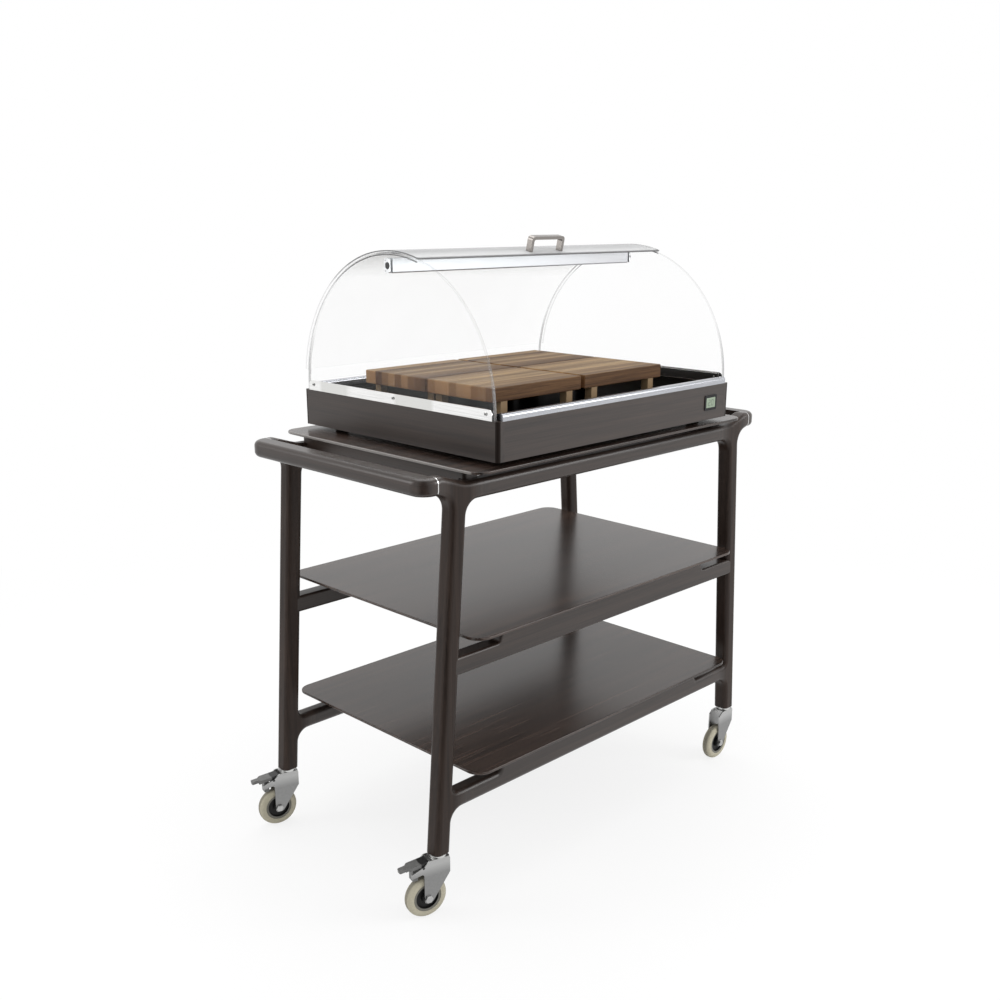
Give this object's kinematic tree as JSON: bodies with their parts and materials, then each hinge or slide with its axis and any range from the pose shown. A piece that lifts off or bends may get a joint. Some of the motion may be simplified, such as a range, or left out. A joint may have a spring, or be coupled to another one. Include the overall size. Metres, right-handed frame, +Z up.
{
  "type": "serving cart",
  "caption": "Dark timber serving cart on swivel castors, with two open shelves, a push handle at each end and a chilled display base under a clear roll-top lid.",
  "frame": {"origin": "on the floor under the middle of the frame", "axes": "+X along the cart to its right end, +Y to its back, +Z up"},
  "size_m": [1.0468, 0.554, 1.1865],
  "materials": {
    "timber": "dark stained satin timber",
    "board_laminate": "dark satin laminate with a fine grain",
    "dowel_wood": "plain turned hardwood",
    "polished_steel": "polished stainless",
    "bolt_steel": "plain",
    "tray_steel": "brushed stainless",
    "zinc_steel": "bright zinc plate",
    "hub_plastic": "moulded",
    "tread_rubber": "grey-beige, non-marking",
    "pedal_plastic": "dark grey satin",
    "foot_rubber": "matt",
    "cold_plate_plastic": "moulded shell with a frozen filling",
    "meter_plastic": "black",
    "meter_window": "pale green liquid crystal window",
    "clear_acrylic": "clear and polished",
    "bar_aluminium": "satin anodised",
    "butcher_block": "oiled, with mixed stripes"
  },
  "bodies": {
    "cart": {"back_shell": "clear_acrylic", "base_back": "timber", "base_ends": "timber", "base_feet": "foot_rubber", "base_floor": "board_laminate", "base_front": "timber", "board_dowels": "dowel_wood", "bottom_rails": "timber", "bottom_shelf": "board_laminate", "castor_stems": "zinc_steel", "clamp_bars": "polished_steel", "cold_plates": "cold_plate_plastic", "cover_bar": "bar_aluminium", "cover_bar_caps": "bar_aluminium", "cross_rails": "timber", "end_panel_left": "clear_acrylic", "end_panel_right": "clear_acrylic", "handle_bolts": "bolt_steel", "handle_spacers": "polished_steel", "leg_back_left": "timber", "leg_back_right": "timber", "leg_front_left": "timber", "leg_front_right": "timber", "middle_rails": "timber", "middle_shelf": "board_laminate", "push_handle_left": "timber", "push_handle_right": "timber", "side_trims": "polished_steel", "steel_rails": "polished_steel", "thermometer_bezel": "meter_plastic", "thermometer_screen": "meter_window", "top_board": "board_laminate", "top_rails": "timber", "trim_screws": "bolt_steel", "well_tray": "tray_steel"},
    "lid": {"lid_shell": "clear_acrylic", "lid_lips": "clear_acrylic", "lid_handle": "bar_aluminium"},
    "board_front_left": {"serving_board_front_left": "butcher_block"},
    "board_front_right": {"serving_board_front_right": "butcher_block"},
    "board_back_left": {"serving_board_back_left": "butcher_block"},
    "board_back_right": {"serving_board_back_right": "butcher_block"},
    "fork_front_left": {"castor_fork_front_left": "zinc_steel", "castor_axle_front_left": "zinc_steel"},
    "wheel_front_left": {"castor_hub_front_left": "hub_plastic", "castor_tyre_front_left": "tread_rubber"},
    "pedal_front_left": {"brake_pedal_front_left": "pedal_plastic"},
    "fork_back_left": {"castor_fork_back_left": "zinc_steel", "castor_axle_back_left": "zinc_steel"},
    "wheel_back_left": {"castor_hub_back_left": "hub_plastic", "castor_tyre_back_left": "tread_rubber"},
    "pedal_back_left": {"brake_pedal_back_left": "pedal_plastic"},
    "fork_front_right": {"castor_fork_front_right": "zinc_steel", "castor_axle_front_right": "zinc_steel"},
    "wheel_front_right": {"castor_hub_front_right": "hub_plastic", "castor_tyre_front_right": "tread_rubber"},
    "fork_back_right": {"castor_fork_back_right": "zinc_steel", "castor_axle_back_right": "zinc_steel"},
    "wheel_back_right": {"castor_hub_back_right": "hub_plastic", "castor_tyre_back_right": "tread_rubber"}
  },
  "joints": [
    {"name": "swivel_front_left", "type": "hinge", "parent": "cart", "child": "fork_front_left", "pos_m": [-0.451, -0.2325, 0.114], "axis": [0, 0, 1], "continuous": true},
    {"name": "roll_front_left", "type": "hinge", "parent": "fork_front_left", "child": "wheel_front_left", "pos_m": [-0.47708, -0.22551, 0.04], "axis": [0.2588, 0.9659, 0], "continuous": true},
    {"name": "brake_front_left", "type": "hinge", "parent": "fork_front_left", "child": "pedal_front_left", "pos_m": [-0.48577, -0.22318, 0.105], "axis": [-0.2588, -0.9659, 0], "range_deg": [0, 8]},
    {"name": "swivel_back_left", "type": "hinge", "parent": "cart", "child": "fork_back_left", "pos_m": [-0.451, 0.2325, 0.114], "axis": [0, 0, 1], "continuous": true},
    {"name": "roll_back_left", "type": "hinge", "parent": "fork_back_left", "child": "wheel_back_left", "pos_m": [-0.47708, 0.23949, 0.04], "axis": [0.2588, 0.9659, 0], "continuous": true},
    {"name": "brake_back_left", "type": "hinge", "parent": "fork_back_left", "child": "pedal_back_left", "pos_m": [-0.48577, 0.24182, 0.105], "axis": [-0.2588, -0.9659, 0], "range_deg": [0, 8]},
    {"name": "swivel_front_right", "type": "hinge", "parent": "cart", "child": "fork_front_right", "pos_m": [0.451, -0.2325, 0.114], "axis": [0, 0, 1], "continuous": true},
    {"name": "roll_front_right", "type": "hinge", "parent": "fork_front_right", "child": "wheel_front_right", "pos_m": [0.424, -0.2325, 0.04], "axis": [0, 1, 0], "continuous": true},
    {"name": "swivel_back_right", "type": "hinge", "parent": "cart", "child": "fork_back_right", "pos_m": [0.451, 0.2325, 0.114], "axis": [0, 0, 1], "continuous": true},
    {"name": "roll_back_right", "type": "hinge", "parent": "fork_back_right", "child": "wheel_back_right", "pos_m": [0.478, 0.2325, 0.04], "axis": [0, -1, 0], "continuous": true},
    {"name": "lid_roll", "type": "hinge", "parent": "cart", "child": "lid", "pos_m": [0, 0, 0.901], "axis": [1, 0, 0], "range_deg": [0, 71.4]},
    {"name": "lift_board_front_left", "type": "slide", "parent": "cart", "child": "board_front_left", "axis": [0, 0, 1], "range_m": [0, 0.09]},
    {"name": "lift_board_front_right", "type": "slide", "parent": "cart", "child": "board_front_right", "axis": [0, 0, 1], "range_m": [0, 0.09]},
    {"name": "lift_board_back_left", "type": "slide", "parent": "cart", "child": "board_back_left", "axis": [0, 0, 1], "range_m": [0, 0.09]},
    {"name": "lift_board_back_right", "type": "slide", "parent": "cart", "child": "board_back_right", "axis": [0, 0, 1], "range_m": [0, 0.09]}
  ]
}
